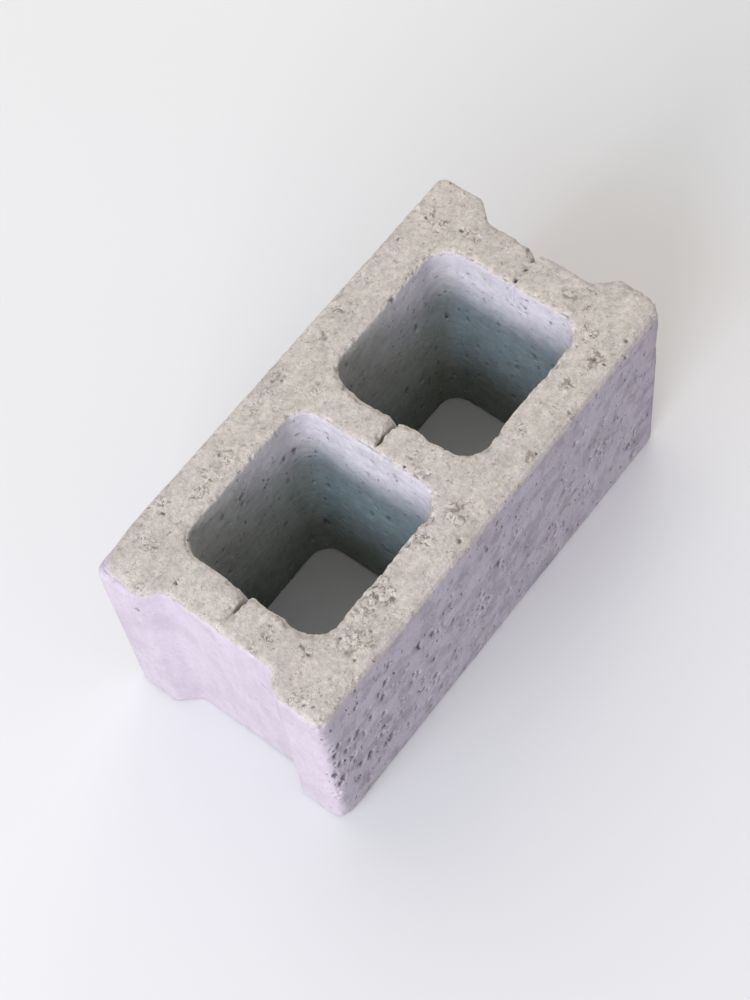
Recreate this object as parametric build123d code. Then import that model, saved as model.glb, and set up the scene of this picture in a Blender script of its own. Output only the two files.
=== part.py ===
from build123d import *
import os

# Hollow concrete block with two cells, standing as it left the mould: bed face down, open mouths up.
# Millimetres. +X runs along the block, +Y across it, +Z up, origin at the middle of the bottom face.

# Overall size
length = 400.0
width = 200.0
height = 190.0

# Upright corners of the block, and the soft edge of everything that opens in its top face
corner_radius = 9.0
arris_radius = 1.0

# Wall thickness at the top, where the cores are widest
face_shell_top = 36.5
end_web_top = 35.0
centre_web_top = 32.0

# Wall thickness at the bottom, where the cores are narrowest so that the block strips off them
face_shell_bottom = 45.5
end_web_bottom = 47.5
centre_web_bottom = 57.0

# Upright corners of a cell
cell_corner_top = 18.0
cell_corner_bottom = 17.0

# Mortar recess down each end, between two ears
recess_depth = 14.5
ear_width = 38.0
recess_slope = 16.0
recess_bend_radius = 8.0

# Slots that the core bar leaves across the top of each web. The mix drags towards +X over the bar, so a
# slot enters its web with a small rounding and leaves it in a flare, wider to +Y than to -Y, that dies
# away down the slot.
slot_width = 2.6
slot_depth = 20.0
slot_entry_radius = 2.0
slot_left_flare = 11.0
slot_right_flare = 5.0
slot_foot_flare = 1.0


def recess_floor_x(z):
    """Where the floor of an end recess stands: how far from the middle of the block, at any height z."""
    return length / 2 - recess_depth


def end_wall_x(z):
    """Where the cell wall of an end web stands at height z."""
    web = end_web_bottom + (end_web_top - end_web_bottom) * z / height
    return recess_floor_x(z) - web


def centre_wall_x(z):
    """Where the cell wall of the centre web stands at height z."""
    return (centre_web_bottom + (centre_web_top - centre_web_bottom) * z / height) / 2


def end_points(side):
    """Corners of the outline at one end, from -Y to +Y. The side is 1 for +X and -1 for -X."""
    half_width = width / 2
    mouth = half_width - ear_width
    floor = mouth - recess_slope
    face_x = side * length / 2
    floor_x = side * recess_floor_x(0)
    return [
        (face_x, -half_width),
        (face_x, -mouth),
        (floor_x, -floor),
        (floor_x, floor),
        (face_x, mouth),
        (face_x, half_width),
    ]


def outline():
    """Plan of the block: a rectangle with a shallow recess in each end, all its bends rounded."""
    corners = end_points(1) + end_points(-1)[::-1]
    plan = make_face(Polyline(*corners, close=True))
    rows = plan.vertices().group_by(Axis.Y)
    recess_bends = [bend for row in rows[1:-1] for bend in row]
    plan = fillet(recess_bends, recess_bend_radius)
    rows = plan.vertices().group_by(Axis.Y)
    return fillet(rows[0] + rows[-1], corner_radius)


def cell_section(side, z, shell, corner):
    """Rounded rectangle of one cell at height z."""
    inner = centre_wall_x(z)
    outer = end_wall_x(z)
    middle = side * (inner + outer) / 2
    section = RectangleRounded(outer - inner, width - 2 * shell, corner)
    return Plane((0, 0, z)) * Pos(middle, 0) * section


def cell(side):
    """Tapered core of one cell, wider at the top than at the bottom."""
    bottom = cell_section(side, 0, face_shell_bottom, cell_corner_bottom)
    top = cell_section(side, height, face_shell_top, cell_corner_top)
    return loft([bottom, top])


def slot_side(near_x, far_x, flare):
    """One side of a slot in plan, from before its web to past it, rounded where it enters and leaves."""
    half = slot_width / 2
    overrun = slot_width
    enter = (near_x, half + slot_entry_radius)
    entered = (near_x + slot_entry_radius, half)
    bend = (far_x - flare, half)
    mouth = (far_x, half + flare)
    side = Line((near_x - overrun, enter[1]), enter)
    side += RadiusArc(enter, entered, -slot_entry_radius)
    side += Line(entered, bend)
    side += RadiusArc(bend, mouth, -flare)
    side += Line(mouth, (far_x + overrun, mouth[1]))
    return side


def slot_section(z, near_x, far_x, left_flare, right_flare):
    """Plan of a slot at height z."""
    left = slot_side(near_x, far_x, left_flare)
    right = mirror(slot_side(near_x, far_x, right_flare), about=Plane.XZ)
    ends = Line(left @ 0, right @ 0) + Line(left @ 1, right @ 1)
    return Plane((0, 0, z)) * make_face(left + right + ends)


def slot(near_face, far_face):
    """Cutter for the slot across one web, whose two faces are given as functions of height."""
    foot_z = height - slot_depth
    foot = slot_section(foot_z, near_face(foot_z), far_face(foot_z), slot_foot_flare, slot_foot_flare)
    mouth = slot_section(height, near_face(height), far_face(height), slot_left_flare, slot_right_flare)
    return loft([foot, mouth])


def hollow_block():
    """The whole block, cast in one piece."""
    block = extrude(outline(), height)
    for side in (-1, 1):
        block -= cell(side)
    block -= slot(lambda z: -recess_floor_x(z), lambda z: -end_wall_x(z))
    block -= slot(lambda z: -centre_wall_x(z), centre_wall_x)
    block -= slot(end_wall_x, recess_floor_x)
    top_edges = block.faces().group_by(Axis.Z)[-1].edges()
    return fillet(top_edges, arris_radius)


os.makedirs("parts", exist_ok=True)
part = hollow_block()
part.label = "hollow_block"
export_step(part, "parts/hollow_block.step")
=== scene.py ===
import math

import bmesh
import bpy
import numpy as np
from mathutils import Matrix, Quaternion, Vector
from mathutils.kdtree import KDTree


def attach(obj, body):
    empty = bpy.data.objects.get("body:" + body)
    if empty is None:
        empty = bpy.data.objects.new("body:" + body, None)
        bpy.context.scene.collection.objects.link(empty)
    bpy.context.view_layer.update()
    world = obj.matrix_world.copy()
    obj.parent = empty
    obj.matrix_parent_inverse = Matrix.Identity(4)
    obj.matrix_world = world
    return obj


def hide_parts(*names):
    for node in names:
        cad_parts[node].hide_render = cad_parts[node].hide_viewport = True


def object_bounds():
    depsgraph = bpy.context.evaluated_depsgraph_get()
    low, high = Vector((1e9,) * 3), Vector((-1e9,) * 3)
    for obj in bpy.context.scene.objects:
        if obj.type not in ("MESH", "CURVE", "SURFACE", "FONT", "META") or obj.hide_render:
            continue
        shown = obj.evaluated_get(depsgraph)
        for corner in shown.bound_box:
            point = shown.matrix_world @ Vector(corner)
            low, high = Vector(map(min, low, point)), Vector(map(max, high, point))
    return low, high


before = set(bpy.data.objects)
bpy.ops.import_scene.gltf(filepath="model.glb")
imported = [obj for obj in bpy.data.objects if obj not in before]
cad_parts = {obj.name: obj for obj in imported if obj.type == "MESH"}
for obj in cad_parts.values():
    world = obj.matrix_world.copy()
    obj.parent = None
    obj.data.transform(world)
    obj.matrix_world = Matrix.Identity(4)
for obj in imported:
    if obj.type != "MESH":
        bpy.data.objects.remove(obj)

# The hollow concrete block as cast: one closed mesh that stands for the plain solid.
# Lengths are in metres. MM turns a size in millimetres into metres.
MM = 0.001

cad_low, cad_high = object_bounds()
BLOCK = "hollow_block"
TOP = cad_high.z
LEFT_END = cad_low.x
RIGHT_END = cad_high.x
FRONT = cad_low.y

# Plan of the block at its top: recess in each end, webs, and the walls of the two cells
END_RECESS = 14.5 * MM
END_WEB = 35 * MM
CENTRE_WEB = 32 * MM
FACE_SHELL = 36.5 * MM
LEFT_WEB = (LEFT_END + END_RECESS, LEFT_END + END_RECESS + END_WEB)
MIDDLE_WEB = (-CENTRE_WEB / 2, CENTRE_WEB / 2)
RIGHT_WEB = (RIGHT_END - END_RECESS - END_WEB, RIGHT_END - END_RECESS)
CELL_MIDDLE = (CENTRE_WEB / 2 + RIGHT_WEB[0]) / 2
CELL_HALF_LENGTH = (RIGHT_WEB[0] - CENTRE_WEB / 2) / 2
CELL_HALF_WIDTH = -FRONT - FACE_SHELL
UPRIGHT_CORNER = 9 * MM

# Core-bar slots across the webs
SLOT_DEPTH = 20 * MM

# Mix that fell back into two of them: how far through the web, and millimetres below the top
MIDDLE_FILL = ((0.05, 1.4), (0.15, 2.2))
RIGHT_FILL = ((0.10, 2.6), (0.30, 0.9), (0.42, 1.2), (0.60, 2.0), (0.68, 1.0))

# How far the left shoulder of each slot has rolled over, in millimetres
SHOULDERS = ((LEFT_WEB, 1.2), (MIDDLE_WEB, 1.7), (RIGHT_WEB, 1.2))

# How fine the block is worked, and how many triangles are kept of that
WORKING_GRAIN = 1.1 * MM
KEPT_TRIANGLES = 196000

# Rounds of smoothing: of the fresh mesh, of its normals, and of the shapes that wear leads to
MESH_ROUNDS = 3
NORMAL_ROUNDS = 5
SOFT_ROUNDS = 15
SOFTER_ROUNDS = 27

# Crumbs lost from the arrises: small ones in rows, larger chips, and chips round the mouths
NICKS = 480
CHIPS = 110
MOUTH_CHIPS = 60

# Air voids in the mix: how far apart the small and the large ones lie, how far heights are
# squeezed to leave them tall, and the deepest opening
VOID_SPACING = 3.8 * MM
LARGE_VOID_SPACING = 7.5 * MM
VOID_SQUEEZE = 0.58
DEEPEST_PORE = 2.2 * MM

# How deep a pore and a chip are where their marks are full: the pore's mark gives painted shade,
# the chip's a paler colour
FULL_HOLLOW = 1.6 * MM
FULL_CHIP = 1.2 * MM

# How far round the mouths of the cells their arrises reach
MOUTH_ARRIS = 4 * MM

# Corners that have taken knocks: x, y and reach in millimetres
KNOCKED_PLACES = (
    (150, -52, 9),
    (-20, -62, 9),
    (193, -92, 12),
)

# Open, crumbly places in the struck top: x, y and reach in millimetres
OPEN_PATCHES = (
    (-20, -82, 12),
    (-50, -70, 9),
    (-96, -73, 13),
    (-118, -73, 10),
    (-134, -80, 14),
    (-194, -76, 8),
    (57, -76, 7),
    (106, -81, 7),
    (133, -86, 8),
    (160, 72, 9),
    (-8, 89, 7),
    (-24, 91, 5),
    (2, 60, 7),
    (-80, 80, 10),
    (-95, 78, 9),
    (-109, 77, 8),
    (-133, 92, 8),
    (-164, 81, 8),
    (38, 85, 6),
    (61, 90, 5),
    (168, 84, 5),
    (172, 47, 6),
    (152, -28, 6),
    (167, -40, 5),
    (168, -58, 5),
    (150, -69, 6),
    (-3, -28, 6),
    (-11, -41, 7),
    (45, -90, 5),
    (-165, -30, 5),
    (-163, -60, 6),
    (-180, 0, 5),
    (-186, 15, 4),
    (-186, -28, 4),
    (-193, 64, 4),
    (-177, 58, 4),
)

# Crumbly places in the front: x, z and reach in millimetres
FRONT_PATCHES = (
    (-142, 52, 20),
    (-184, 88, 17),
    (-163, 112, 11),
    (-137, 138, 8),
    (-126, 157, 5),
    (-164, 157, 4),
    (-82, 125, 5),
    (-70, 112, 12),
    (-90, 60, 16),
    (-30, 75, 18),
    (20, 118, 9),
    (62, 50, 20),
    (118, 92, 13),
    (160, 45, 16),
)

# The known pits: how far heights are squeezed to leave them tall, and how many radii they span
PIT_SQUEEZE = 0.5
PIT_SPAN = 2.8

# Pits that stand out in the front: x, z and radius in millimetres
FRONT_PITS = (
    (-195, 89, 2.6),
    (-193, 67, 2.4),
    (-191, 121, 2.2),
    (-189, 101, 2.4),
    (-189, 72, 3.2),
    (-186, 131, 2.4),
    (-181, 108, 1.8),
    (-175, 118, 1.8),
    (-175, 44, 2.0),
    (-171, 98, 1.7),
    (-170, 61, 2.4),
    (-167, 115, 2.4),
    (-164, 155, 1.9),
    (-160, 57, 3.2),
    (-152, 113, 2.2),
    (-141, 133, 2.0),
    (-137, 45, 3.0),
    (-133, 138, 2.2),
    (-127, 158, 2.0),
    (-105, 98, 1.7),
    (-96, 127, 1.5),
    (-81, 124, 2.5),
    (-67, 134, 1.6),
    (-54, 165, 1.5),
)

# Pits that stand out in the walls of the cells: x, y, z and radius in millimetres
WALL_PITS = (
    (-26, 49, 41, 2.7),
    (-22, 43, 96, 2.0),
    (-23, 28, 84, 1.6),
    (-19, 4, 152, 1.4),
    (-22, -13, 105, 2.0),
    (-45, 60, 120, 2.0),
    (-108, 62, 162, 1.7),
    (-93, 62, 163, 1.4),
    (-90, 62, 152, 1.6),
    (-118, 62, 148, 1.4),
    (-96, 61, 142, 1.5),
    (-64, 61, 144, 1.4),
    (144, 29, 86, 1.7),
    (146, -24, 117, 2.0),
    (144, -8, 90, 2.1),
    (149, 4, 168, 1.4),
    (147, 10, 131, 1.5),
    (111, 61, 127, 2.2),
    (145, 60, 111, 1.9),
    (126, 61, 139, 1.6),
    (128, 58, 76, 1.7),
    (89, 58, 66, 2.2),
    (107, 57, 59, 1.9),
)


# Noise on points in space, the same every run

PRIME_X = np.uint32(374761393)
PRIME_Y = np.uint32(668265263)
PRIME_Z = np.uint32(2246822519)
PRIME_SEED = np.uint32(3266489917)
HASHES = 2**32


def lattice_hash(cells, seed):
    """A number from 0 to 1 for each whole-number cell."""
    x, y, z = (cells[..., axis].astype(np.uint32) for axis in range(3))
    mixed = x * PRIME_X + y * PRIME_Y + z * PRIME_Z + np.uint32(seed * int(PRIME_SEED) % HASHES)
    mixed = (mixed ^ (mixed >> np.uint32(15))) * PRIME_Z
    mixed = (mixed ^ (mixed >> np.uint32(13))) * PRIME_SEED
    mixed = mixed ^ (mixed >> np.uint32(16))
    return mixed.astype(np.float64) / (HASHES - 1)


def soft_noise(points, wavelength, seed):
    """Smooth noise from -1 to 1 whose bumps are about a wavelength apart."""
    scaled = points / wavelength
    cell = np.floor(scaled).astype(np.int64)
    part = scaled - cell
    ease = part * part * (3 - 2 * part)
    shares = [((1 - column).copy(), column.copy()) for column in ease.T]
    total = np.zeros(len(points))
    for x, y, z in np.ndindex(2, 2, 2):
        weight = shares[0][x] * shares[1][y] * shares[2][z]
        total += weight * lattice_hash(cell + np.array((x, y, z)), seed)
    return total * 2 - 1


def rough_noise(points, wavelength, seed, octaves=3):
    """Noise with finer and finer bumps laid over the first."""
    total = np.zeros(len(points))
    share = 1.0
    for octave in range(octaves):
        total += share * soft_noise(points, wavelength / 2**octave, seed + octave)
        share /= 2
    return total / (2 - 2 * share)


def noise_shift(points, wavelength, seed):
    """A shift in space for each point, each of its parts from -1 to 1."""
    return np.stack([soft_noise(points, wavelength, seed + axis) for axis in range(3)], axis=1)


def between(low, high, value):
    """0 below low, 1 above high and a soft step between."""
    step = np.clip((value - low) / (high - low), 0, 1)
    return step * step * (3 - 2 * step)


def near_top(heights, start, full):
    """0 lower than a start and 1 from full up, both given in millimetres below the top."""
    return between(TOP - start * MM, TOP - full * MM, heights)


def unit(vectors):
    """Vectors brought to length 1."""
    return vectors / np.maximum(np.linalg.norm(vectors, axis=-1, keepdims=True), 1e-9)


# Meshes as arrays

def fine_copy(node, lumps, grain):
    """An even, fine mesh of a solid with lumps of mix stuck to it: centres and half sizes."""
    rough = bpy.data.objects.new("rough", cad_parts[node].data.copy())
    work = bmesh.new()
    work.from_mesh(rough.data)
    for centre, half in lumps:
        shape = Matrix.Translation(centre) @ Matrix.Diagonal((*half, 1.0))
        bmesh.ops.create_icosphere(work, subdivisions=2, radius=1.0, matrix=shape)
    work.to_mesh(rough.data)
    work.free()
    bpy.context.scene.collection.objects.link(rough)
    remesh = rough.modifiers.new("even", "REMESH")
    remesh.mode = "VOXEL"
    remesh.voxel_size = grain
    depsgraph = bpy.context.evaluated_depsgraph_get()
    mesh = bpy.data.meshes.new_from_object(rough.evaluated_get(depsgraph))
    bpy.data.objects.remove(rough)
    return mesh


def read_points(mesh):
    """Places of a mesh's points."""
    places = np.empty(len(mesh.vertices) * 3, np.float32)
    mesh.vertices.foreach_get("co", places)
    return places.reshape(-1, 3).astype(np.float64)


def write_points(mesh, points):
    """Moves a mesh's points."""
    mesh.vertices.foreach_set("co", points.astype(np.float32).ravel())
    mesh.update()


def read_edges(mesh):
    """Pairs of neighbouring points."""
    pairs = np.empty(len(mesh.edges) * 2, np.int32)
    mesh.edges.foreach_get("vertices", pairs)
    return pairs.reshape(-1, 2)


def read_normals(mesh):
    """Outward direction at each point."""
    normals = np.empty(len(mesh.vertices) * 3, np.float32)
    mesh.vertex_normals.foreach_get("vector", normals)
    return normals.reshape(-1, 3).astype(np.float64)


def relaxed(values, edges, rounds):
    """Values at points, drawn towards the mean of their neighbours round after round."""
    values = values.copy()
    ends = np.concatenate([edges[:, 0], edges[:, 1]])
    others = np.concatenate([edges[:, 1], edges[:, 0]])
    count = np.maximum(np.bincount(ends, minlength=len(values)), 1)
    for _ in range(rounds):
        for axis in range(values.shape[1]):
            mean = np.bincount(ends, values[others, axis], len(values)) / count
            values[:, axis] = (values[:, axis] + mean) / 2
    return values


def tree_of(points):
    """A search tree of points."""
    tree = KDTree(len(points))
    for index, place in enumerate(points.tolist()):
        tree.insert(place, index)
    tree.balance()
    return tree


def around(tree, centre, reach):
    """Numbers of the points within reach of a centre."""
    return np.array([item[1] for item in tree.find_range(centre.tolist(), reach)], int)


# The core-bar slots

def within(span, margin, x):
    """1 inside a span of x and 0 outside it, with a soft margin at each end."""
    return between(span[0] - margin, span[0], x) * (1 - between(span[1], span[1] + margin, x))


def slot_lumps():
    """Lumps of mix that fell back into the slots. They shut the left one towards its recess."""
    rng = np.random.default_rng(17)
    lumps = []
    for x in np.arange(LEFT_WEB[0] - 1 * MM, LEFT_WEB[0] + 18 * MM, 1.8 * MM):
        fallen = 2.5 * MM * max(0, x - LEFT_WEB[0] - 11 * MM) / (7 * MM)
        half_height = SLOT_DEPTH / 2 + 1 * MM
        middle = TOP - (1.0 + 0.7 * rng.random()) * MM - fallen - half_height
        lumps.append(((x, 0.0, middle), (2.4 * MM, 2.6 * MM, half_height)))
    for web, fill in ((MIDDLE_WEB, MIDDLE_FILL), (RIGHT_WEB, RIGHT_FILL)):
        for share, fallen in fill:
            x = web[0] + share * (web[1] - web[0])
            half_height = (5 + 4 * rng.random()) * MM
            middle = TOP - fallen * MM - half_height
            lumps.append(((x, 0.4 * MM, middle), (2.2 * MM, 2.6 * MM, half_height)))
    return lumps


def worked_slots(points):
    """Makes the slots crooked and rolls their left shoulders over, most of all at the flares."""
    x, y, z = points.T.copy()
    reach = np.abs(y)
    line = np.stack([x, np.zeros(len(x)), np.zeros(len(x))], axis=1)
    crook = 0.9 * MM * soft_noise(line, 12 * MM, 92) + 0.5 * MM * soft_noise(line, 4.5 * MM, 93)
    deep = between(TOP - SLOT_DEPTH - 6 * MM, TOP - SLOT_DEPTH + 2 * MM, z)
    new_y = y + crook * deep * (1 - between(3 * MM, 14 * MM, reach))
    drop = np.zeros(len(x))
    for web, amount in SHOULDERS:
        flare = between(web[1] - 15 * MM, web[1] - 2 * MM, x)
        roll = (4.5 + 7.5 * flare) * MM
        along = within((web[1] - 22 * MM, web[1] + 2 * MM), 8 * MM, x)
        drop += amount * MM * along * (1 + 0.6 * flare) * (1 - between(0.1 * roll, roll, reach))
    drop *= (y > 0) * near_top(z, 10, 0)
    return np.stack([x, new_y, z - drop], axis=1)


# Wear

def pushed(places, inward, centre, radius):
    """How far each place has to go inward to leave a ball, or its own one of a set of balls."""
    away = places - centre
    along = np.sum(away * inward, axis=1)
    squared = np.sum(away * away, axis=1)
    reach = radius**2 - (squared - along**2)
    push = np.sqrt(np.maximum(reach, 0)) - along
    return np.where(squared < radius**2, push, 0)


def crumble(points, inward, tree, chance, number, smallest, largest, bites, seed):
    """Balls of a few sizes bitten out of the mix, at places picked by chance.

    The balls are ragged, because they are measured on places that noise has shifted.
    """
    rng = np.random.default_rng(seed)
    ragged = points + noise_shift(points, 2.4 * MM, seed + 3) * 0.55 * MM
    lost = np.zeros(len(points))
    chosen = rng.choice(len(points), number, replace=False, p=chance / chance.sum())
    for index in chosen.tolist():
        radius = smallest + (largest - smallest) * rng.random() ** 1.6
        bite = (bites[0] + (bites[1] - bites[0]) * rng.random()) * radius
        centre = points[index] - inward[index] * (radius - bite)
        found = around(tree, centre, radius + 1 * MM)
        if len(found):
            push = pushed(ragged[found], inward[found], centre, radius)
            lost[found] = np.maximum(lost[found], push)
    return lost


def rubbed(points, inward, start, end, outward, radius, bite):
    """How far points go inward where an arris is rubbed down from start to end by a round stone."""
    start = np.array(start, float)
    line = np.array(end, float) - start
    share = np.clip((points - start) @ line / (line @ line), 0, 1)
    on_line = start + share[:, None] * line
    uneven = 0.75 + 0.5 * rough_noise(on_line, 9 * MM, 81)
    fade = between(0, 0.12, share) * (1 - between(0.88, 1, share))
    centre = on_line + unit(np.array(outward, float)) * (radius - bite * uneven * fade)[:, None]
    return pushed(points, inward, centre, radius)


def corner_place(end, side, height):
    """A place on an upright corner of the block, in the middle of its rounding."""
    step = UPRIGHT_CORNER * (1 - math.sqrt(0.5))
    return (end - math.copysign(step, end), side - math.copysign(step, side), height)


def rubbed_arrises(points, inward):
    """The arrises that handling has worn most."""
    right_front = rubbed(
        points, inward,
        corner_place(RIGHT_END, FRONT, TOP - 70 * MM), corner_place(RIGHT_END, FRONT, TOP + 9 * MM),
        (1, -1, 0.25), 13 * MM, 3.4 * MM)
    right_mouth = rubbed(
        points, inward,
        (RIGHT_WEB[0], 1 * MM, TOP), (RIGHT_WEB[0], 20 * MM - CELL_HALF_WIDTH, TOP),
        (-1, 0, 1), 14 * MM, 2.2 * MM)
    return np.maximum(right_front, right_mouth)


def knocked(points):
    """1 at the top corners that have taken knocks and 0 away from them."""
    share = np.zeros(len(points))
    for x, y, reach in KNOCKED_PLACES:
        away = np.hypot(points[:, 0] - x * MM, points[:, 1] - y * MM)
        share = np.maximum(share, 1 - between(0.5 * reach * MM, reach * MM, away))
    return share * near_top(points[:, 2], 12, 3)


def rough_mouths(points):
    """1 at the cells' mouths along the front and towards the left end, and 0 away from them."""
    along = points[:, 0] - np.copysign(CELL_MIDDLE, points[:, 0])
    left = between(11 * MM, 7 * MM, along + CELL_HALF_LENGTH)
    front = between(12 * MM, 8 * MM, points[:, 1] + CELL_HALF_WIDTH)
    near = between(8 * MM, 4 * MM, off_the_cells(points)) * near_top(points[:, 2], 9, 4)
    return np.maximum(left, front) * near


def lost_crumbs(points, inward, tree, convex):
    """What has crumbled off the arrises: nicks and chips, most of all round the cells' mouths."""
    sharp = between(0.2 * MM, 0.7 * MM, convex)
    stretch = 0.10 + between(-0.1, 0.5, rough_noise(points, 30 * MM, 52))
    upper = 0.20 + 0.80 * near_top(points[:, 2], 13, 3)
    mouths = 1 + 2 * inside_cells(points)
    calm = 1 - 0.85 * (points[:, 0] < LEFT_WEB[0] + 9 * MM)
    brow = 1 - between(11 * MM, 14 * MM, points[:, 1] - FRONT)
    calm *= 1 - 0.97 * brow * near_top(points[:, 2], 22, 12)
    left_front = np.hypot(points[:, 0] - LEFT_END, points[:, 1] - FRONT)
    brittle = between(0.05 * MM, 0.3 * MM, convex) * (1 - between(5 * MM, 12 * MM, left_front))
    brittle *= between(0.0, 0.5, rough_noise(points, 16 * MM, 57))
    bruised = sharp * knocked(points)
    chance = sharp * stretch * upper * mouths * calm
    nicks = crumble(
        points, inward, tree, chance + 0.12 * brittle + 2 * bruised,
        NICKS, 1.3 * MM, 3.0 * MM, (0.2, 0.5), 5)
    chips = crumble(
        points, inward, tree, chance + 6.0 * brittle + 6 * bruised,
        CHIPS, 2.8 * MM, 6.5 * MM, (0.12, 0.33), 6)
    bitten = crumble(
        points, inward, tree, sharp * rough_mouths(points) * (0.15 + stretch),
        MOUTH_CHIPS, 2.4 * MM, 5.0 * MM, (0.30, 0.55), 7)
    whole = (LEFT_WEB[1] + 5 * MM, CELL_HALF_WIDTH - 5 * MM)
    off_whole = np.hypot(points[:, 0] - whole[0], points[:, 1] - whole[1])
    return np.maximum.reduce([nicks, chips, bitten]) * between(9 * MM, 15 * MM, off_whole)


# Air voids in the mix

def void_depth(places, inward, spacing, share, smallest, largest, seed):
    """How far each place has to go inward to reach the far side of the air voids in the mix.

    One round void may sit in each cell of a lattice. The share of cells that hold one can
    change from place to place.
    """
    depth = np.zeros(len(places))
    home = np.floor(places / spacing).astype(np.int64)
    for step in np.ndindex(3, 3, 3):
        cell = home + np.array(step) - 1
        holds = np.flatnonzero(lattice_hash(cell, seed + 4) < share)
        cell = cell[holds]
        middle = np.stack([lattice_hash(cell, seed + axis) for axis in range(3)], axis=1)
        middle = (cell + 0.15 + 0.7 * middle) * spacing
        radius = smallest + (largest - smallest) * lattice_hash(cell, seed + 3) ** 3
        push = pushed(places[holds], inward[holds], middle, radius)
        depth[holds] = np.maximum(depth[holds], push)
    return depth


def patchy(points, across, patches):
    """1 in patches of a face and 0 away from them, for the two directions that the face spans."""
    wander = points[:, across] + noise_shift(points, 9 * MM, 44)[:, across] * 4 * MM
    share = np.zeros(len(points))
    for first, second, reach in patches:
        away = np.hypot(wander[:, 0] - first * MM, wander[:, 1] - second * MM)
        share = np.maximum(share, 1 - between(0.55 * reach * MM, 1.15 * reach * MM, away))
    return share


def open_places(points, top):
    """1 in the crumbly patches of the top and the front, and 0 away from them."""
    front = 1 - between(3 * MM, 8 * MM, points[:, 1] - FRONT)
    on_top = patchy(points, (0, 1), OPEN_PATCHES) * top
    return np.maximum(on_top, patchy(points, (0, 2), FRONT_PATCHES) * front * (1 - top))


def off_the_cells(points):
    """How far each point is outside the mouths of the cells in plan, less than 0 inside them."""
    along = np.abs(np.abs(points[:, 0]) - CELL_MIDDLE) - CELL_HALF_LENGTH
    return np.maximum(along, np.abs(points[:, 1]) - CELL_HALF_WIDTH)


def inside_cells(points):
    """1 on the walls of the cells and their arrises, and 0 outside them."""
    return off_the_cells(points) < MOUTH_ARRIS


def known_pits(points, inward, tree):
    """How deep the pits are that stand out in the front and in the cells."""
    squeeze = np.array((1, 1, PIT_SQUEEZE))
    ragged = (points + noise_shift(points, 2.6 * MM, 91) * 1.1 * MM) * squeeze
    depth = np.zeros(len(points))
    in_front = [(x, FRONT / MM, z, radius) for x, z, radius in FRONT_PITS]
    for x, y, z, radius in in_front + list(WALL_PITS):
        centre = np.array(tree.find((x * MM, y * MM, z * MM))[0])
        found = around(tree, centre, PIT_SPAN * radius * MM)
        push = pushed(ragged[found], inward[found], centre * squeeze, radius * MM)
        depth[found] = np.maximum(depth[found], push)
    return depth


def craggy_depth(points):
    """Wandering hollows, where the mix tore open between its grains."""
    warped = points + noise_shift(points, 6 * MM, 46) * 1.5 * MM
    line = np.abs(soft_noise(warped, 5.5 * MM, 47))
    torn = between(-0.15, 0.25, soft_noise(points, 6.5 * MM, 48))
    return 1.30 * MM * (1 - between(0.04, 0.18, line)) * torn


def loose_crumbs(points, patch):
    """1 on the crumbs that stick up from the top, in drifts and round the crumbly patches."""
    warped = points + noise_shift(points, 3 * MM, 36) * 1.2 * MM
    strewn = 0.8 * between(0.30, 0.60, rough_noise(points, 20 * MM, 37))
    crumbs = between(0.30, 0.62, soft_noise(warped, 4.4 * MM, 49))
    return crumbs * np.clip(1.2 * patch + strewn, 0, 1)


def pore_depth(points, inward, top, patch):
    """Open pores: many in the struck top, fewer in the moulded faces, and most in the patches."""
    loose = np.clip(rough_noise(points, 24 * MM, 21), 0, 1)
    in_cell = inside_cells(points)
    front = 1 - between(3 * MM, 8 * MM, points[:, 1] - FRONT)
    low = between(12 * MM, 80 * MM, TOP - points[:, 2])
    low *= between(-0.4, 0.4, rough_noise(points, 40 * MM, 23))
    moulded = 0.02 + 0.11 * in_cell + 0.26 * front * (0.25 + 0.75 * low) + 0.35 * patch
    squeeze = np.array((1, 1, VOID_SQUEEZE))
    warped = (points + noise_shift(points, 3.1 * MM, 40) * 1.5 * MM) * squeeze
    share = top * (0.03 + 0.11 * loose + 0.22 * patch) + (1 - top) * moulded
    pores = void_depth(warped, inward, VOID_SPACING, share, 0.8 * MM, 1.9 * MM, 60)
    moulded_large = 0.006 + 0.03 * in_cell + 0.16 * front * (0.2 + 0.8 * low) + 0.25 * patch
    large_share = (1 - top) * moulded_large
    large = void_depth(warped, inward, LARGE_VOID_SPACING, large_share, 1.4 * MM, 3.3 * MM, 70)
    crags = craggy_depth(points) * np.clip(patch + 0.5 * top * between(0.25, 0.7, loose), 0, 1)
    return np.minimum(np.maximum.reduce([pores, large, crags]), DEEPEST_PORE)


def left_end_face(y):
    """Where the left end stands: its ears, its recess and the slopes between them."""
    return LEFT_END + END_RECESS * between(62 * MM, 46 * MM, np.abs(y))


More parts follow.
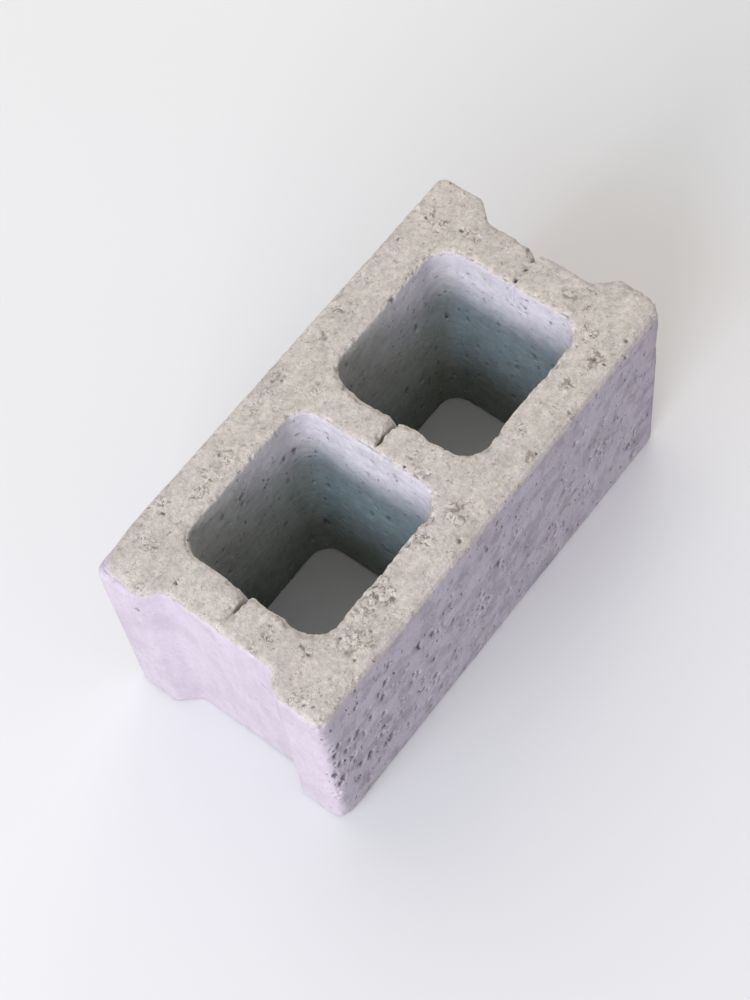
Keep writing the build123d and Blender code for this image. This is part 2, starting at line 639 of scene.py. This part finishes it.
def rolled_brow(points):
    """Rolls the upper arrises of the front and the left end over, most at the far left corner."""
    x, y, z = points.T.copy()
    plan = np.stack([x, y, np.zeros(len(x))], axis=1)
    uneven = rough_noise(plan, 24 * MM, 18)
    left_corner = between(44 * MM, 16 * MM, np.hypot(x - LEFT_END, y + FRONT))
    front_reach = (9.0 + 2.5 * uneven) * MM
    end_reach = (5.0 + 2.2 * uneven + 9.0 * left_corner) * MM
    back_reach = (2.0 + 10.0 * left_corner) * MM
    drop = (5.5 + 2.0 * rough_noise(plan, 17 * MM, 24)) * MM
    drop += (2.5 * between(24 * MM, 8 * MM, y - FRONT) + 3.0 * left_corner) * MM
    front = np.clip(1 - (y - FRONT) / front_reach, 0, 1)
    end = np.clip(1 - (x - left_end_face(y)) / end_reach, 0, 1)
    back = np.clip(1 + (y + FRONT) / back_reach, 0, 1)
    lower = np.clip(1 - (TOP - z) / drop, 0, None)
    upright = np.sqrt(front**2 + end**2 + back**2)
    away = np.hypot(upright, lower)
    beyond = np.maximum(away - np.maximum(upright, 1), 0) / np.maximum(away, 1e-9)
    new_y = y + beyond * (front * front_reach - back * back_reach)
    return np.stack([x + beyond * end * end_reach, new_y, z - beyond * lower * drop], axis=1)


def uneven_mouths(points):
    """Draws the mouths of the cells back unevenly, along the front and towards the left end."""
    x, y, z = points.T.copy()
    plan = np.stack([x, y, np.zeros(len(x))], axis=1)
    along = x - np.copysign(CELL_MIDDLE, x)
    from_left = along + CELL_HALF_LENGTH
    from_front = y + CELL_HALF_WIDTH
    amount = 3.0 * MM * between(-0.30, 0.55, rough_noise(plan, 15 * MM, 26))
    amount *= near_top(z, 14, 3)
    left = between(-11 * MM, -1 * MM, from_left) * between(10 * MM, 5 * MM, from_left)
    left *= between(CELL_HALF_WIDTH - 4 * MM, CELL_HALF_WIDTH - 20 * MM, np.abs(y))
    left *= between(5 * MM, 13 * MM, np.abs(y))
    front = between(-11 * MM, -1 * MM, from_front) * between(10 * MM, 5 * MM, from_front)
    front *= between(CELL_HALF_LENGTH - 4 * MM, CELL_HALF_LENGTH - 20 * MM, np.abs(along))
    return np.stack([x - amount * left, y - 0.6 * amount * front, z], axis=1)


def worn_down(points, soft, softer, inward, convex):
    """Wears the edges down unevenly, from the sharp shape towards a soft and a softer one."""
    # Edges softened by wear, unevenly, but little down in the slots
    slot_side = (1 - between(1.5 * MM, 5 * MM, np.abs(points[:, 1]))) * (convex < 0.25 * MM)
    wear = np.clip(0.42 + 0.75 * rough_noise(points, 13 * MM, 11), 0.08, 1.10)
    wear *= 1 - 0.85 * slot_side
    worn = points + (soft - points) * wear[:, None]
    ragged = between(0.15 * MM, 0.7 * MM, convex)
    ragged *= between(-0.1, 0.6, rough_noise(points, 9 * MM, 14))
    worn += inward * ((1.2 + 1.3 * rough_mouths(points)) * MM * ragged)[:, None]

    # The upper edges of the left end and the front, and their corner, have slumped most of all
    outer = np.maximum(points[:, 0] < LEFT_WEB[0] + 9 * MM, points[:, 1] < FRONT + 10 * MM)
    corner = 1 - between(12 * MM, 18 * MM, np.hypot(points[:, 0] - LEFT_END, points[:, 1] - FRONT))
    slumped = np.maximum(outer * near_top(points[:, 2], 24, 12), corner)
    far_mouth = (1 - between(1 * MM, 10 * MM, off_the_cells(points))) * (1 - rough_mouths(points))
    far_mouth = far_mouth * near_top(points[:, 2], 14, 7)
    slumped = np.maximum(slumped, 0.9 * far_mouth * between(2 * MM, 7 * MM, np.abs(points[:, 1])))
    slumped = slumped * np.clip(0.75 + 0.6 * rough_noise(points, 15 * MM, 17), 0.2, 1.15)
    return worn + (softer - worn) * slumped[:, None]


def weathered(mesh):
    """Works the even mesh into cast concrete, and gives its points and their marks from 0 to 1."""
    edges = read_edges(mesh)
    points = relaxed(worked_slots(read_points(mesh)), edges, MESH_ROUNDS)
    write_points(mesh, points)
    normals = unit(relaxed(read_normals(mesh), edges, NORMAL_ROUNDS))
    inward = -normals
    soft = relaxed(points, edges, SOFT_ROUNDS)
    softer = relaxed(soft, edges, SOFTER_ROUNDS)
    convex = np.sum((points - soft) * normals, axis=1)
    top = between(0.6, 0.9, normals[:, 2]) * near_top(points[:, 2], 6, 3)

    points = worn_down(points, soft, softer, inward, convex)
    points = rolled_brow(uneven_mouths(points))

    tree = tree_of(points)
    patch = open_places(points, top)
    lost = np.maximum(rubbed_arrises(points, inward), lost_crumbs(points, inward, tree, convex))
    depth = np.maximum(pore_depth(points, inward, top, patch), known_pits(points, inward, tree))
    crumbs = loose_crumbs(points, patch) * top
    sunk = top * (0.65 + 0.25 * rough_noise(points, 8 * MM, 31) - 0.50 * crumbs) * MM
    sunk += (1 - top) * (0.10 + 0.10 * rough_noise(points, 20 * MM, 33)) * MM
    points += inward * (np.maximum(depth, lost) + sunk)[:, None]

    points = np.clip(points, np.array(cad_low), np.array(cad_high))
    write_points(mesh, points)
    # How deep each pore is, from 0 to 1, which the shader turns into painted shade in the pore.
    hollow = np.clip(depth / FULL_HOLLOW, 0, 1)
    chipped = np.clip(lost / FULL_CHIP, 0, 1)
    return points, {"hollow": hollow, "chipped": chipped, "open": patch, "crumb": crumbs}


def thinned(mesh, triangles):
    """The same shape on fewer triangles, most of them kept where it is busy."""
    full = bpy.data.objects.new("full", mesh)
    bpy.context.scene.collection.objects.link(full)
    thin = full.modifiers.new("thin", "DECIMATE")
    thin.ratio = triangles / (2 * len(mesh.polygons))
    thin.use_collapse_triangulate = True
    depsgraph = bpy.context.evaluated_depsgraph_get()
    kept = bpy.data.meshes.new_from_object(full.evaluated_get(depsgraph))
    bpy.data.objects.remove(full)
    return kept


def keep_marks(mesh, full_points, marks):
    """Stores each mark of the full mesh on the nearest points of the thinned one."""
    tree = tree_of(full_points)
    nearest = [tree.find(place)[1] for place in read_points(mesh).tolist()]
    for name, values in marks.items():
        attribute = mesh.attributes.new(name, "FLOAT", "POINT")
        attribute.data.foreach_set("value", values[nearest].astype(np.float32))


def cast_block():
    """The block as one closed piece."""
    grain = WORKING_GRAIN
    triangles = KEPT_TRIANGLES
    full = fine_copy(BLOCK, slot_lumps(), grain)
    points, marks = weathered(full)
    mesh = thinned(full, triangles)
    keep_marks(mesh, points, marks)
    mesh.name = "cast_block"
    mesh.polygons.foreach_set("use_smooth", np.ones(len(mesh.polygons), bool))
    block = bpy.data.objects.new("cast_block", mesh)
    bpy.context.scene.collection.objects.link(block)
    return block


# Materials

class Number:
    """A shader value that Python's operators work on."""

    def __init__(self, finish, socket):
        self.finish = finish
        self.socket = socket

    def maths(self, operation, first, second=0.0):
        node = self.finish.add("Math", {"operation": operation}, {0: first, 1: second})
        return Number(self.finish, node.outputs[0])

    def __add__(self, other):
        return self.maths("ADD", self, other)

    def __radd__(self, other):
        return self.maths("ADD", other, self)

    def __sub__(self, other):
        return self.maths("SUBTRACT", self, other)

    def __rsub__(self, other):
        return self.maths("SUBTRACT", other, self)

    def __mul__(self, other):
        return self.maths("MULTIPLY", self, other)

    def __rmul__(self, other):
        return self.maths("MULTIPLY", other, self)

    def __abs__(self):
        return self.maths("ABSOLUTE", self)


class Finish:
    """One material and its nodes."""

    def __init__(self, name):
        self.material = bpy.data.materials.new(name)
        self.material.use_nodes = True
        self.tree = self.material.node_tree
        self.tree.nodes.clear()

    def add(self, kind, settings, sockets):
        """A node, its settings made first and then its sockets set or linked."""
        node = self.tree.nodes.new("ShaderNode" + kind)
        for name, value in settings.items():
            setattr(node, name, value)
        for name, value in sockets.items():
            if isinstance(value, Number):
                value = value.socket
            if isinstance(value, bpy.types.NodeSocket):
                self.tree.links.new(value, node.inputs[name])
            else:
                node.inputs[name].default_value = value
        return node

    def mark(self, name):
        """A mark that the mesh carries, from 0 to 1."""
        return Number(self, self.add("Attribute", {"attribute_name": name}, {}).outputs["Fac"])

    def stretched(self, place, x, y, z):
        """A place with each direction scaled, so that what is drawn there is longer one way."""
        sockets = {0: place, 1: (x, y, z)}
        return self.add("VectorMath", {"operation": "MULTIPLY"}, sockets).outputs["Vector"]

    def noise(self, place, size, detail=3.0, roughness=0.55):
        """Noise from 0 to 1 whose patches are about a size across."""
        sockets = {"Vector": place, "Scale": 1 / size, "Detail": detail, "Roughness": roughness}
        return Number(self, self.add("TexNoise", {}, sockets).outputs["Fac"])

    def grains(self, place, size):
        """Distance from the middle of the nearest grain, and a shade of grey for each grain."""
        node = self.add("TexVoronoi", {}, {"Vector": place, "Scale": 1 / size})
        shade = self.add("SeparateColor", {}, {"Color": node.outputs["Color"]})
        return Number(self, node.outputs["Distance"]), Number(self, shade.outputs[0])

    def jumbled(self, place, size, reach):
        """A place moved about by noise, so that what is drawn there gets a ragged outline."""
        sockets = {0: self.noise(place, size, 2.0) - 0.5, 1: (reach, -reach, reach), 2: place}
        return self.add("VectorMath", {"operation": "MULTIPLY_ADD"}, sockets).outputs["Vector"]

    def pits(self, place, size, share):
        """1 in pits of many widths and 0 outside them, where a share of the grains has one."""
        node = self.add("TexVoronoi", {}, {"Vector": place, "Scale": 1 / size})
        parts = self.add("SeparateColor", {}, {"Color": node.outputs["Color"]})
        held = self.step(0.0, 0.04, share - Number(self, parts.outputs[0]))
        reach = Number(self, parts.outputs[1]) * 0.26 + 0.10
        return held * self.step(0.0, 0.10, reach - Number(self, node.outputs["Distance"]))

    def step(self, low, high, value):
        """0 below low, 1 above high and a soft step between."""
        sockets = {"Value": value, "From Min": low, "From Max": high}
        node = self.add("MapRange", {"interpolation_type": "SMOOTHSTEP"}, sockets)
        return Number(self, node.outputs["Result"])

    def blend(self, factor, first, second):
        """Two colours blended."""
        settings = {"data_type": "RGBA", "blend_type": "MIX"}
        return self.add("Mix", settings, {0: factor, 6: first, 7: second}).outputs[2]

    def toned(self, colour, tone):
        """A colour made lighter or darker by a number."""
        sockets = {0: colour, "Scale": tone}
        return self.add("VectorMath", {"operation": "SCALE"}, sockets).outputs["Vector"]

    def finish(self, shader):
        """Links the shader to the surface."""
        self.add("OutputMaterial", {}, {"Surface": shader.outputs[0]})
        return self.material


def paint(red, green, blue):
    """A linear colour with its alpha."""
    return (red, green, blue, 1.0)


# The warm sand of the struck top and the lilac of the moulded faces are partly painted light: part
# of the warm room light and of the cool window light is put into them.
STRUCK_SAND = paint(0.580, 0.532, 0.480)
STRUCK_DAMP = paint(0.500, 0.458, 0.415)
STRUCK_ROSE = paint(0.585, 0.515, 0.486)
MOULDED_FACE = paint(0.578, 0.528, 0.592)
MOULDED_SHADE = paint(0.480, 0.438, 0.496)
# In the cells: the deep colour is partly a painted tint of cool sky light, the side colour also
# serves as painted shade beside the left mouths, and the foot colour darkens the walls towards
# their feet.
CELL_WALL = paint(0.558, 0.545, 0.592)
CELL_DEEP = paint(0.495, 0.545, 0.555)
CELL_SIDE_AND_SHADE = paint(0.455, 0.470, 0.435)
CELL_FOOT = paint(0.300, 0.325, 0.285)
FRESH_CHIP = paint(0.660, 0.605, 0.590)
PALE_GRAIN = paint(0.720, 0.670, 0.625)
DARK_GRAIN = paint(0.240, 0.225, 0.215)
PORE_SHADE = paint(0.140, 0.126, 0.140)
PORE_BROWN = paint(0.250, 0.196, 0.158)


# How large the grains and the pores of the material are
SAND = 1.7 * MM
GRAIN = 2.3 * MM
GRIT = 4.5 * MM
BLOTCH = 11 * MM
SPECK = 2.8 * MM
PIT = 4.4 * MM
HOLE = 6.0 * MM
DASH = 3.4 * MM
RELIEF = 0.9 * MM

# How strongly each kind of pore takes the shade
SPECK_STRENGTH = 0.65
PIT_STRENGTH = 0.80
HOLE_STRENGTH = 0.70
DASH_STRENGTH = 0.55


def struck_top_colour(f, place):
    """The struck top: warm sand, the warmth partly painted room light, mottled, with damp and rosy
    patches.
    """
    damp = f.step(0.46, 0.66, f.noise(place, 30 * MM, 3.0))
    rosy = f.step(0.50, 0.70, f.noise(f.stretched(place, 1, 1, 1.3), 42 * MM, 2.0))
    colour = f.blend(rosy * 0.7, STRUCK_SAND, STRUCK_ROSE)
    return f.blend(damp * 0.55, colour, STRUCK_DAMP)


def in_cells(f, along, across):
    """1 on the walls of the cells and 0 outside them."""
    from_middle = abs(abs(along) - CELL_MIDDLE)
    in_length = f.step(CELL_HALF_LENGTH + 4.2 * MM, CELL_HALF_LENGTH + 3.4 * MM, from_middle)
    return in_length * f.step(CELL_HALF_WIDTH + 4.2 * MM, CELL_HALF_WIDTH + 3.4 * MM, abs(across))


def in_slots(f, along, across, height, in_cell):
    """1 on the banks of the core-bar slots and 0 away from them."""
    beside = f.step(15 * MM, 12 * MM, abs(across)) * f.step(TOP - 24 * MM, TOP - 19 * MM, height)
    recess = RIGHT_END - END_RECESS
    return beside * f.step(recess - 0.3 * MM, recess - 1.5 * MM, abs(along)) * (1 - in_cell)


def moulded_colour(f, place, height, in_cell, beside, web_shade):
    """The moulded faces: pale mauve grey, cooler in the cells, darker towards their feet, with
    painted shade.
    """
    patch = f.noise(place, 38 * MM, 3.0) * 0.6
    patch = patch + f.noise(f.stretched(place, 1, 1, 0.2), 7 * MM, 2.0) * 0.4
    shade = f.step(0.42, 0.64, patch)
    face = f.blend(shade * 0.6, MOULDED_FACE, MOULDED_SHADE)
    wavy = height + (f.noise(place, 25 * MM, 1.0) - 0.5) * (60 * MM)
    # Lower down the end walls turn cooler, partly a painted tint of cool sky light, and the side
    # walls darker and greener.
    deep = f.blend(beside, CELL_DEEP, CELL_SIDE_AND_SHADE)
    wall = f.blend(f.step(TOP - 20 * MM, TOP - 90 * MM, wavy), CELL_WALL, deep)
    # Painted shade from the web: the side walls near each left mouth turn to the side colour and
    # are toned darker.
    wall = f.blend(web_shade * 0.8, wall, CELL_SIDE_AND_SHADE)
    # The walls grow darker towards their feet.
    wall = f.blend(f.step(TOP - 105 * MM, TOP - 165 * MM, wavy) * 0.75, wall, CELL_FOOT)
    streak = f.step(0.35, 0.65, f.noise(f.stretched(place, 0.45, 0.45, 1), 5 * MM, 3.0, 0.6))
    wall = f.toned(wall, 1.08 - shade * 0.10 - streak * 0.14 - web_shade * 0.15)
    return f.blend(in_cell, face, wall)


def struck_top(f, place, along, across, height, in_cell, from_middle):
    """1 on the struck top and 0 on the moulded faces, which meet along a wandering line."""
    mouth = f.step(9 * MM, 5 * MM, abs(along - MIDDLE_WEB[0]))
    mouth = mouth + f.step(9 * MM, 5 * MM, abs(along - RIGHT_WEB[0])) * 0.4
    mouth = mouth * f.step(CELL_HALF_WIDTH + 4 * MM, CELL_HALF_WIDTH - 2 * MM, abs(across))
    rolled = f.step(FRONT + 14 * MM, FRONT + 7 * MM, across)
    end = f.step(LEFT_END + 22 * MM, LEFT_END + 16 * MM, along) * (1 - rolled)
    brim = (1 - f.step(5 * MM, 9 * MM, abs(across + CELL_HALF_WIDTH))) * in_cell
    left_mouth = f.step(9 * MM - CELL_HALF_LENGTH, 5 * MM - CELL_HALF_LENGTH, from_middle)
    brim = brim + left_mouth * in_cell * (1 - brim)
    ragged = (f.noise(place, 6 * MM, 2.0) - 0.5) * (3.5 - 1.9 * mouth + 13.0 * rolled) * MM
    wander = (f.noise(place, 17 * MM, 3.0) - 0.5) * (13 * MM)
    lowest = mouth * (1.6 * MM) + end * (0.9 * MM) - rolled * (9 * MM) - brim * (9 * MM)
    highest = mouth * (0.7 * MM) + end * (0.6 * MM) - rolled * (1.3 * MM) - brim * (5 * MM)
    line = height + ragged + wander * (rolled + end * 0.2)
    top = f.step(lowest + (TOP - 4.6 * MM), highest + (TOP - 1.9 * MM), line)
    return top + in_slots(f, along, across, height, in_cell) * (1 - top)


def sanded(f, place, colour, top, open_patch):
    """A colour with sand in it, and the sand, the grit and the speckle that they make.

    The grains have a few shades, and a few of them are pale or dark.
    """
    sand = f.noise(place, SAND, 2.0, 0.7)
    grit = f.noise(place, GRIT, 2.0, 0.6)
    blotch = f.noise(place, BLOTCH, 2.0, 0.6)
    distance, shade = f.grains(place, GRAIN)
    pale = f.step(0.90, 0.96, shade) * f.step(0.44, 0.32, distance)
    dark = f.step(0.04, 0.01, shade) * f.step(0.40, 0.30, distance)
    colour = f.blend(pale * 0.45, colour, PALE_GRAIN)
    colour = f.blend(dark * 0.5, colour, DARK_GRAIN)
    speckle = f.step(0.28, 0.72, sand) * 0.3 + f.step(0.3, 0.7, grit) * 0.4
    speckle = speckle + f.step(0.3, 0.7, blotch) * 0.3
    contrast = 0.14 + (0.36 + open_patch * 0.10) * top
    return f.toned(colour, 1.0 + (speckle - 0.5) * contrast), sand, grit, speckle


def pored(f, place, colour, across, top, in_cell, beside, open_patch):
    """A colour with painted shade in the pores that are too fine for the mesh, and how deep the
    moulded ones are.

    They are drifts of specks and torn cracks on top, and ragged pits in the moulded faces.
    """
    drift = f.step(0.42, 0.66, f.noise(place, 19 * MM, 3.0))
    speck = f.step(0.59, 0.67, f.noise(place, SPECK, 2.0, 0.6)) * (0.25 + 0.75 * drift) * top
    front = f.step(FRONT + 4 * MM, FRONT + 2 * MM, across)
    ragged_place = f.jumbled(place, 2.8 * MM, 5.0 * MM)
    share = in_cell * (0.12 + 0.26 * beside) + front * 0.45
    share = (0.02 + share) * (0.25 + 0.75 * drift) + open_patch * 0.35
    pit = f.pits(f.stretched(ragged_place, 1, 1, 0.6), PIT, share) * (1 - in_cell * 0.3)
    tall_place = f.stretched(f.jumbled(place, 4.5 * MM, 8.0 * MM), 1, 1, 0.4)
    hole = f.pits(tall_place, HOLE, (0.15 + 0.40 * drift) * front + open_patch * 0.25)
    dashed = in_cell * (0.12 + 0.34 * beside)
    dash = f.pits(f.stretched(ragged_place, 0.5, 0.5, 1), DASH, dashed) * (1 - top)
    smudge = f.step(0.44, 0.64, f.noise(place, 16 * MM, 3.0, 0.6)) * front * (1 - top)
    worm = f.step(0.60, 0.66, f.noise(place, 8.5 * MM, 2.0)) + open_patch
    torn = abs(f.noise(place, 5.0 * MM, 2.0, 0.6) - 0.5)
    held = f.step(0.40, 0.50, f.noise(place, 6.5 * MM, 2.0))
    crack = f.step(0.040, 0.018, torn) * held * worm * top * (0.60 + open_patch * 0.18)
    # Painted shade in the pores, brown on the top: the mesh's own pores by their depth, and the
    # specks, pits, holes, dashes and cracks too.
    hollow = f.mark("hollow") * (0.78 - 0.22 * in_cell) * (1 - 0.38 * top)
    shade = f.blend(top, PORE_SHADE, PORE_BROWN)
    colour = f.toned(colour, 1.0 - smudge * 0.21)
    colour = f.blend(speck * SPECK_STRENGTH, colour, shade)
    colour = f.blend(pit * (1 - top) * PIT_STRENGTH, colour, shade)
    colour = f.blend(hole * (1 - top) * HOLE_STRENGTH, colour, shade)
    colour = f.blend(dash * DASH_STRENGTH, colour, shade)
    colour = f.blend(crack, colour, shade)
    colour = f.blend(hollow, colour, shade)
    return colour, pit * 0.9 + hole * 1.4


def concrete():
    """Dry-cast concrete: a sandy open top, closer and cooler faces where the mould pressed it,
    their tints partly painted light.
    """
    f = Finish("concrete")
    place = f.add("TexCoord", {}, {}).outputs["Object"]
    parts = f.add("SeparateXYZ", {}, {"Vector": place}).outputs
    along, across, height = (Number(f, parts[axis]) for axis in "XYZ")
    open_patch = f.mark("open")

    in_cell = in_cells(f, along, across)
    beside = f.step(46 * MM, 56 * MM, abs(across))
    in_right = f.step(-1 * MM, 1 * MM, along)
    from_middle = along + CELL_MIDDLE - in_right * (2 * CELL_MIDDLE)
    # Painted shade on the side walls towards each cell's left mouth, where the web keeps the light
    # off.
    web_shade = beside * f.step(34 * MM, -40 * MM, from_middle)
    top = struck_top(f, place, along, across, height, in_cell, from_middle)
    moulded = moulded_colour(f, place, height, in_cell, beside, web_shade)
    colour = f.blend(top, moulded, struck_top_colour(f, place))
    colour = f.blend(f.mark("chipped") * 0.2, colour, FRESH_CHIP)
    colour = f.blend(f.mark("crumb") * 0.38, colour, PALE_GRAIN)
    colour, sand, grit, speckle = sanded(f, place, colour, top, open_patch)
    colour, sunk = pored(f, place, colour, across, top, in_cell, beside, open_patch)

    upright = f.step(TOP - 2 * MM, TOP - 5 * MM, height)
    relief = sand * (0.58 - 0.30 * upright) + grit * 0.3 - sunk * upright
    bump = f.add("Bump", {}, {"Strength": 1.0, "Distance": RELIEF, "Height": relief})
    shader = f.add("BsdfPrincipled", {}, {
        "Base Color": colour,
        "Roughness": 0.95 - speckle * 0.10,
        "IOR": 1.45,
        "Specular IOR Level": 0.25,
        "Normal": bump.outputs["Normal"],
    })
    return f.finish(shader)


FLOOR_SEEN = paint(0.80, 0.80, 0.80)
FLOOR_BOUNCE = paint(0.28, 0.28, 0.28)


def floor_paint():
    """Plain pale floor that throws little light back up at the block."""
    f = Finish("floor_paint")
    path = f.add("LightPath", {}, {})
    direct = Number(f, path.outputs["Is Camera Ray"]) + Number(f, path.outputs["Is Glossy Ray"])
    seen = f.step(0.25, 0.75, direct + Number(f, path.outputs["Is Transmission Ray"]))
    colour = f.blend(seen, FLOOR_BOUNCE, FLOOR_SEEN)
    shader = f.add("BsdfPrincipled", {}, {"Base Color": colour, "Roughness": 0.9})
    return f.finish(shader)


# Stage, light and camera

FLOOR_REACH = 12.0

ROOM_COLOUR = paint(1.0, 0.955, 0.92)
ROOM_STRENGTH = 0.50

# Soft lamps: name, place, width, height, watts and colour
LAMPS = (
    ("window", (-3.9, -0.62, 1.40), 3.2, 0.95, 151, (1.0, 0.922, 0.975)),
    ("sky", (-2.3, -0.1, 2.25), 2.6, 0.9, 19, (0.62, 1.0, 1.32)),
    ("ceiling", (0.6, 1.6, 2.5), 2.6, 2.6, 20, (1.0, 0.95, 0.90)),
    ("front", (-0.8, -3.4, 0.2), 2.0, 0.3, 12, (0.84, 0.95, 1.32)),
    ("back", (2.3, 1.1, 0.9), 1.4, 1.0, 16, (1.0, 0.99, 0.97)),
)


def lay_floor():
    """A wide plain floor under the block."""
    mesh = bpy.data.meshes.new("floor")
    reach = FLOOR_REACH
    corners = [(-reach, -reach, 0), (reach, -reach, 0), (reach, reach, 0), (-reach, reach, 0)]
    mesh.from_pydata(corners, [], [(0, 1, 2, 3)])
    floor = bpy.data.objects.new("floor", mesh)
    floor.data.materials.append(floor_paint())
    bpy.context.scene.collection.objects.link(floor)


def softbox(name, place, target, width, height, watts, colour):
    """A soft rectangular lamp at a place, facing a target."""
    lamp = bpy.data.lights.new(name, "AREA")
    lamp.shape = "RECTANGLE"
    lamp.size = width
    lamp.size_y = height
    lamp.energy = watts
    lamp.color = colour
    stand = bpy.data.objects.new(name, lamp)
    stand.location = place
    stand.rotation_euler = (Vector(target) - Vector(place)).to_track_quat("-Z", "Y").to_euler()
    bpy.context.scene.collection.objects.link(stand)


def light_room():
    """Soft warm light from all round and above, and a wide window with cool sky at the left."""
    world = bpy.data.worlds.new("room")
    world.use_nodes = True
    sky = world.node_tree.nodes["Background"]
    sky.inputs["Color"].default_value = ROOM_COLOUR
    sky.inputs["Strength"].default_value = ROOM_STRENGTH
    bpy.context.scene.world = world
    for name, place, width, height, watts, colour in LAMPS:
        softbox(name, place, (0, 0, TOP / 2), width, height, watts, colour)


CAMERA_PLACE = (-0.5099, -0.5167, 1.4762)
CAMERA_AIM = (-0.0106, 0.0089, 0.095)
CAMERA_ROLL = math.radians(-9.7)
CAMERA_LENS = 76.0


def set_camera():
    """Looks down on the left end and the front from above."""
    camera = bpy.data.cameras.new("camera")
    camera.lens = CAMERA_LENS
    camera.sensor_width = 36.0
    stand = bpy.data.objects.new("camera", camera)
    look = (Vector(CAMERA_AIM) - Vector(CAMERA_PLACE)).to_track_quat("-Z", "Y")
    stand.location = CAMERA_PLACE
    stand.rotation_mode = "QUATERNION"
    stand.rotation_quaternion = look @ Quaternion((0, 0, 1), CAMERA_ROLL)
    bpy.context.scene.collection.objects.link(stand)
    bpy.context.scene.camera = stand


block = cast_block()
block.data.materials.clear()
block.data.materials.append(concrete())
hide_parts(BLOCK)
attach(block, "root")
lay_floor()
light_room()
set_camera()
bpy.context.scene.view_settings.view_transform = "Standard"
